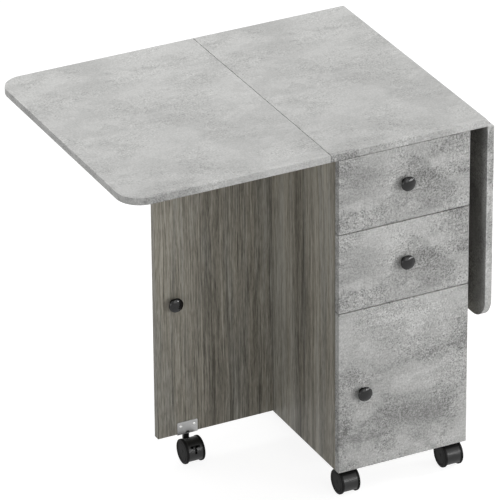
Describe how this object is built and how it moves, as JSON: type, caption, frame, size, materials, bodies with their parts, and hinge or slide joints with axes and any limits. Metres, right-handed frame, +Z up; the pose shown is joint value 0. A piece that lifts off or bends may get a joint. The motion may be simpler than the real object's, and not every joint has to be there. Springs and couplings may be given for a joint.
{
  "type": "folding dining table",
  "caption": "Drop-leaf dining table on casters: a narrow cabinet with drawers and a door under a fixed top, with hinged leaves and swing-out gates on casters that hold them up.",
  "frame": {"origin": "on the floor, under the middle of the table's box as it stands in the picture", "axes": "+Z up, +X to the right along the drawer fronts, +Y from the drawer fronts to the back"},
  "size_m": [0.785, 0.6194, 0.76],
  "materials": {
    "concrete_laminate": "matt laminate printed as grey concrete",
    "wood_laminate": "matt laminate printed as grey-brown oak with upright grain",
    "drawer_board": "plain pale grey melamine board",
    "black_knob": "satin black",
    "caster_hood": "satin black moulded nylon",
    "caster_wheel": "black moulded nylon",
    "steel": "zinc-plated sheet steel",
    "glide": "black nylon glide"
  },
  "bodies": {
    "cabinet": {"fixed_top": "concrete_laminate", "left_leaf_hinge_top_plates": "steel", "right_leaf_hinge_top_plates": "steel", "left_front_side": "wood_laminate", "left_rear_side": "wood_laminate", "right_side": "wood_laminate", "middle_partition": "wood_laminate", "back_panel": "wood_laminate", "cupboard_floor": "wood_laminate", "rear_floor": "wood_laminate", "cupboard_ceiling": "wood_laminate", "drawer_rail": "wood_laminate", "cabinet_runners": "steel", "door_hinge_cabinet_plates": "steel", "right_gate": "wood_laminate", "right_gate_glide": "glide", "right_gate_knob": "black_knob", "right_gate_caster_bracket": "steel", "right_gate_hinge_gate_plates": "steel", "left_gate_hinge_cabinet_plates": "steel", "right_gate_hinge_cabinet_plates": "steel", "hinge_pins": "steel", "cabinet_caster_plates": "steel", "cabinet_caster_stems": "steel"},
    "upper_drawer": {"upper_drawer_front": "concrete_laminate", "upper_drawer_box": "drawer_board", "upper_drawer_bottom": "drawer_board", "upper_drawer_knob": "black_knob", "upper_drawer_runners": "steel"},
    "lower_drawer": {"lower_drawer_front": "concrete_laminate", "lower_drawer_box": "drawer_board", "lower_drawer_bottom": "drawer_board", "lower_drawer_knob": "black_knob", "lower_drawer_runners": "steel"},
    "door": {"door": "concrete_laminate", "door_knob": "black_knob", "door_hinge_door_plates": "steel"},
    "left_gate": {"left_gate": "wood_laminate", "left_gate_glide": "glide", "left_gate_knob": "black_knob", "left_gate_caster_bracket": "steel", "left_gate_hinge_gate_plates": "steel"},
    "left_leaf": {"left_leaf": "concrete_laminate", "left_leaf_hinge_leaf_plates": "steel"},
    "right_leaf": {"right_leaf": "concrete_laminate", "right_leaf_hinge_leaf_plates": "steel"},
    "front_left_caster": {"front_left_caster_hood": "caster_hood"},
    "front_left_wheels": {"front_left_caster_wheels": "caster_wheel"},
    "front_right_caster": {"front_right_caster_hood": "caster_hood"},
    "front_right_wheels": {"front_right_caster_wheels": "caster_wheel"},
    "rear_left_caster": {"rear_left_caster_hood": "caster_hood"},
    "rear_left_wheels": {"rear_left_caster_wheels": "caster_wheel"},
    "rear_right_caster": {"rear_right_caster_hood": "caster_hood"},
    "rear_right_wheels": {"rear_right_caster_wheels": "caster_wheel"},
    "left_gate_caster": {"left_gate_caster_hood": "caster_hood"},
    "left_gate_wheels": {"left_gate_caster_wheels": "caster_wheel"},
    "right_gate_caster": {"right_gate_caster_hood": "caster_hood"},
    "right_gate_wheels": {"right_gate_caster_wheels": "caster_wheel"}
  },
  "joints": [
    {"name": "upper_drawer_slide", "type": "slide", "parent": "cabinet", "child": "upper_drawer", "axis": [0, -1, 0], "range_m": [0, 0.18]},
    {"name": "lower_drawer_slide", "type": "slide", "parent": "cabinet", "child": "lower_drawer", "axis": [0, -1, 0], "range_m": [0, 0.18]},
    {"name": "door_swing", "type": "hinge", "parent": "cabinet", "child": "door", "pos_m": [0.341, -0.27475, 0.058], "axis": [0, 0, 1], "range_deg": [0, 110]},
    {"name": "left_gate_fold", "type": "hinge", "parent": "cabinet", "child": "left_gate", "pos_m": [0.074, 0.01325, 0.058], "axis": [0, 0, -1], "range_deg": [0, 90]},
    {"name": "right_leaf_raise", "type": "hinge", "parent": "cabinet", "child": "right_leaf", "pos_m": [0.3775, 0.00975, 0.745], "axis": [0, -1, 0], "range_deg": [0, 90]},
    {"name": "left_leaf_lift", "type": "hinge", "parent": "cabinet", "child": "left_leaf", "pos_m": [0.0375, 0.00975, 0.745], "axis": [0, 1, 0], "range_deg": [0, 3]},
    {"name": "front_left_caster_swivel", "type": "hinge", "parent": "cabinet", "child": "front_left_caster", "pos_m": [0.0805, -0.24425, 0], "axis": [0, 0, 1], "continuous": true},
    {"name": "front_left_wheels_roll", "type": "hinge", "parent": "front_left_caster", "child": "front_left_wheels", "pos_m": [0.0805, -0.26775, 0.0262], "axis": [1, 0, 0], "continuous": true},
    {"name": "front_right_caster_swivel", "type": "hinge", "parent": "cabinet", "child": "front_right_caster", "pos_m": [0.3125, -0.24425, 0], "axis": [0, 0, 1], "continuous": true},
    {"name": "front_right_wheels_roll", "type": "hinge", "parent": "front_right_caster", "child": "front_right_wheels", "pos_m": [0.3125, -0.26775, 0.0262], "axis": [1, 0, 0], "continuous": true},
    {"name": "rear_left_caster_swivel", "type": "hinge", "parent": "cabinet", "child": "rear_left_caster", "pos_m": [0.1435, 0.27175, 0], "axis": [0, 0, 1], "continuous": true},
    {"name": "rear_left_wheels_roll", "type": "hinge", "parent": "rear_left_caster", "child": "rear_left_wheels", "pos_m": [0.1435, 0.24825, 0.0262], "axis": [1, 0, 0], "continuous": true},
    {"name": "rear_right_caster_swivel", "type": "hinge", "parent": "cabinet", "child": "rear_right_caster", "pos_m": [0.2715, 0.27175, 0], "axis": [0, 0, 1], "continuous": true},
    {"name": "rear_right_wheels_roll", "type": "hinge", "parent": "rear_right_caster", "child": "rear_right_wheels", "pos_m": [0.2715, 0.24825, 0.0262], "axis": [1, 0, 0], "continuous": true},
    {"name": "left_gate_caster_swivel", "type": "hinge", "parent": "left_gate", "child": "left_gate_caster", "pos_m": [-0.1384, 0.00425, 0], "axis": [0, 0, 1], "continuous": true},
    {"name": "left_gate_wheels_roll", "type": "hinge", "parent": "left_gate_caster", "child": "left_gate_wheels", "pos_m": [-0.1384, -0.01925, 0.0262], "axis": [1, 0, 0], "continuous": true},
    {"name": "right_gate_caster_swivel", "type": "hinge", "parent": "cabinet", "child": "right_gate_caster", "pos_m": [0.35, 0.22565, 0], "axis": [0, 0, 1], "continuous": true},
    {"name": "right_gate_wheels_roll", "type": "hinge", "parent": "right_gate_caster", "child": "right_gate_wheels", "pos_m": [0.35, 0.20215, 0.0262], "axis": [1, 0, 0], "continuous": true}
  ]
}
